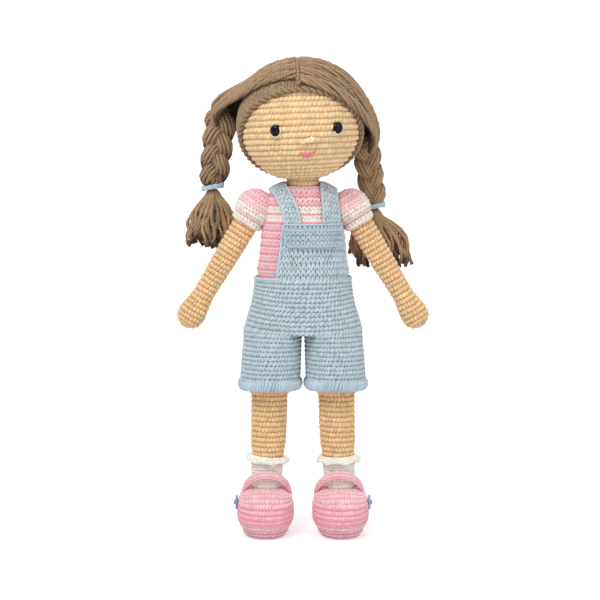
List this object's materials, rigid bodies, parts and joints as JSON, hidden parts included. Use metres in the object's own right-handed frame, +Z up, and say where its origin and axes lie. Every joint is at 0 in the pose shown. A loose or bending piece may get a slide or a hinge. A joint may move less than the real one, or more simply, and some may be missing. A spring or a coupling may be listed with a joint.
{
  "type": "crocheted doll",
  "caption": "Stuffed crocheted doll in a striped shirt and bib shorts, with yarn plaits, frilled socks and strap shoes; head, arms, legs and plaits move.",
  "frame": {"origin": "on the ground plane under the middle of the doll, between its soles", "axes": "+Z up from the soles to the crown, -Y the way the doll faces, +X its own left side"},
  "size_m": [0.2008, 0.0978, 0.3798],
  "materials": {
    "skin_yarn": "matt peach yarn in single crochet",
    "stuffing": "loose white fibre fill",
    "shirt_yarn": "matt pink yarn with cream stripes over the chest",
    "cream_yarn": "matt cream yarn",
    "overall_yarn": "matt light blue-grey yarn",
    "pale_blue_yarn": "matt pale blue yarn",
    "hair_yarn": "soft brown plied yarn",
    "eye_plastic": "glossy black",
    "washer_plastic": "plain white moulded washer",
    "mouth_yarn": "dark pink thread",
    "shoe_yarn": "matt pink yarn with darker pink rounds",
    "flower_yarn": "matt blue-grey yarn",
    "dowel_wood": "plain turned wood"
  },
  "bodies": {
    "torso": {"shirt_body": "shirt_yarn", "body_stuffing": "stuffing", "neck": "skin_yarn", "neck_dowel": "dowel_wood", "shoulder_thread": "cream_yarn", "shorts_waist": "overall_yarn", "bib": "overall_yarn", "bib_flap": "overall_yarn", "strap_left": "overall_yarn", "strap_right": "overall_yarn"},
    "head": {"head": "skin_yarn", "head_stuffing": "stuffing", "wig_cap": "hair_yarn", "hair_left": "hair_yarn", "hair_right": "hair_yarn", "hair_parting": "hair_yarn", "eye_left": "eye_plastic", "eye_right": "eye_plastic", "eye_washer_left": "washer_plastic", "eye_washer_right": "washer_plastic", "nose": "skin_yarn", "mouth": "mouth_yarn"},
    "arm_left": {"arm_left": "skin_yarn", "arm_stuffing_left": "stuffing", "sleeve_left": "shirt_yarn", "sleeve_hem_left": "cream_yarn"},
    "leg_left": {"leg_left": "skin_yarn", "leg_stuffing_left": "stuffing", "shorts_leg_left": "overall_yarn", "cuff_left": "pale_blue_yarn", "sock_left": "cream_yarn", "sock_frill_left": "cream_yarn", "shoe_left": "shoe_yarn", "shoe_sole_left": "shoe_yarn", "shoe_strap_left": "shoe_yarn", "shoe_flower_left": "flower_yarn"},
    "braid_left": {"plait_left": "hair_yarn", "hair_tie_left": "pale_blue_yarn"},
    "tassel_left": {"tassel_left": "hair_yarn"},
    "arm_right": {"arm_right": "skin_yarn", "arm_stuffing_right": "stuffing", "sleeve_right": "shirt_yarn", "sleeve_hem_right": "cream_yarn"},
    "leg_right": {"leg_right": "skin_yarn", "leg_stuffing_right": "stuffing", "shorts_leg_right": "overall_yarn", "cuff_right": "pale_blue_yarn", "sock_right": "cream_yarn", "sock_frill_right": "cream_yarn", "shoe_right": "shoe_yarn", "shoe_sole_right": "shoe_yarn", "shoe_strap_right": "shoe_yarn", "shoe_flower_right": "flower_yarn"},
    "braid_right": {"plait_right": "hair_yarn", "hair_tie_right": "pale_blue_yarn"},
    "tassel_right": {"tassel_right": "hair_yarn"}
  },
  "joints": [
    {"name": "neck_turn", "type": "hinge", "parent": "torso", "child": "head", "pos_m": [0, 0, 0.28], "axis": [0, 0, 1], "range_deg": [-18, 18]},
    {"name": "left_shoulder", "type": "hinge", "parent": "torso", "child": "arm_left", "pos_m": [0.03825, 0, 0.262], "axis": [-1, 0, 0], "range_deg": [0, 95]},
    {"name": "right_shoulder", "type": "hinge", "parent": "torso", "child": "arm_right", "pos_m": [-0.03825, 0, 0.262], "axis": [-1, 0, 0], "range_deg": [0, 95]},
    {"name": "left_hip", "type": "hinge", "parent": "torso", "child": "leg_left", "pos_m": [0.0242, -0.019, 0.15], "axis": [-1, 0, 0], "range_deg": [0, 75]},
    {"name": "right_hip", "type": "hinge", "parent": "torso", "child": "leg_right", "pos_m": [-0.0242, -0.019, 0.15], "axis": [-1, 0, 0], "range_deg": [0, 75]},
    {"name": "left_braid", "type": "hinge", "parent": "head", "child": "braid_left", "pos_m": [0.05068, 0.02671, 0.31146], "axis": [1, 0, 0], "range_deg": [-12, 12]},
    {"name": "right_braid", "type": "hinge", "parent": "head", "child": "braid_right", "pos_m": [-0.06585, 0.01836, 0.3324], "axis": [1, 0, 0], "range_deg": [-12, 12]},
    {"name": "left_tassel", "type": "hinge", "parent": "braid_left", "child": "tassel_left", "pos_m": [0.05768, 0.02771, 0.25406], "axis": [0, -1, 0], "range_deg": [0, 35]},
    {"name": "right_tassel", "type": "hinge", "parent": "braid_right", "child": "tassel_right", "pos_m": [-0.07285, 0.02336, 0.27], "axis": [0, 1, 0], "range_deg": [0, 35]}
  ],
  "couplings": [
    {"joint": "left_braid", "follows": "neck_turn", "ratio": -0.6},
    {"joint": "right_braid", "follows": "neck_turn", "ratio": 0.6}
  ]
}
